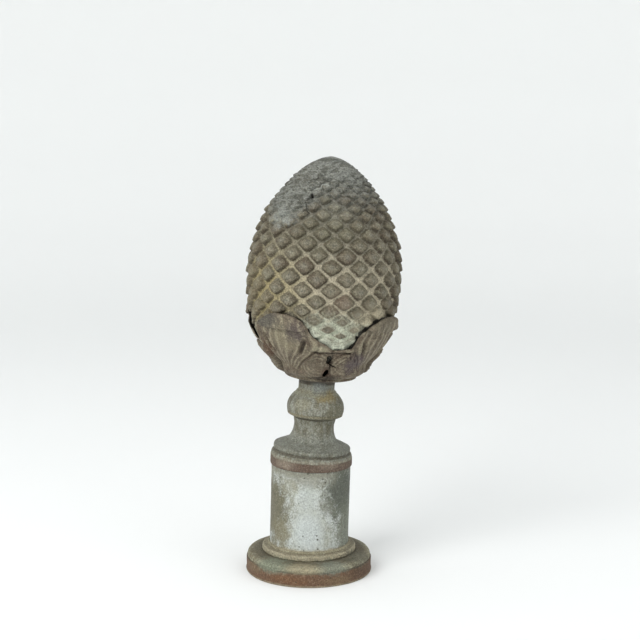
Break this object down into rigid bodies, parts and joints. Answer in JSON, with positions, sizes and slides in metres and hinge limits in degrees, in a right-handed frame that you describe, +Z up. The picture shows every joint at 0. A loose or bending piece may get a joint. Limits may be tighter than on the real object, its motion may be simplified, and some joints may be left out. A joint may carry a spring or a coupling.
{
  "type": "pinecone finial",
  "caption": "Weathered sheet-zinc pinecone finial: a scaled cone in an acanthus leaf cup on a turned baluster, a plain drum and a round stepped foot.",
  "frame": {"origin": "centre of the foot's flat underside, on the surface that the finial stands on", "axes": "+Z up through the foot, +X to the viewer's right, towards which the worn stack leans, and -Y towards the viewer"},
  "size_m": [0.1963, 0.1955, 0.5215],
  "materials": {
    "weathered_zinc_foot": "matt sheet zinc with an olive lime bloom and a brown rim band",
    "pale_oxidised_zinc": "matt sheet zinc, chalky white in the middle with olive and grey stains and small dark pits",
    "grey_oxidised_zinc": "matt olive-grey sheet zinc with a brown band at its foot",
    "brown_oxidised_zinc": "matt brown-grey sheet zinc, nearly black inside the leaves",
    "dark_oxidised_zinc": "matt dark grey-brown sheet zinc with pale dust in the grooves and a cool grey crown"
  },
  "bodies": {
    "root": {"stepped_base": "weathered_zinc_foot", "drum": "pale_oxidised_zinc", "baluster": "grey_oxidised_zinc", "leaf_calyx": "brown_oxidised_zinc", "pinecone": "dark_oxidised_zinc"}
  },
  "joints": []
}
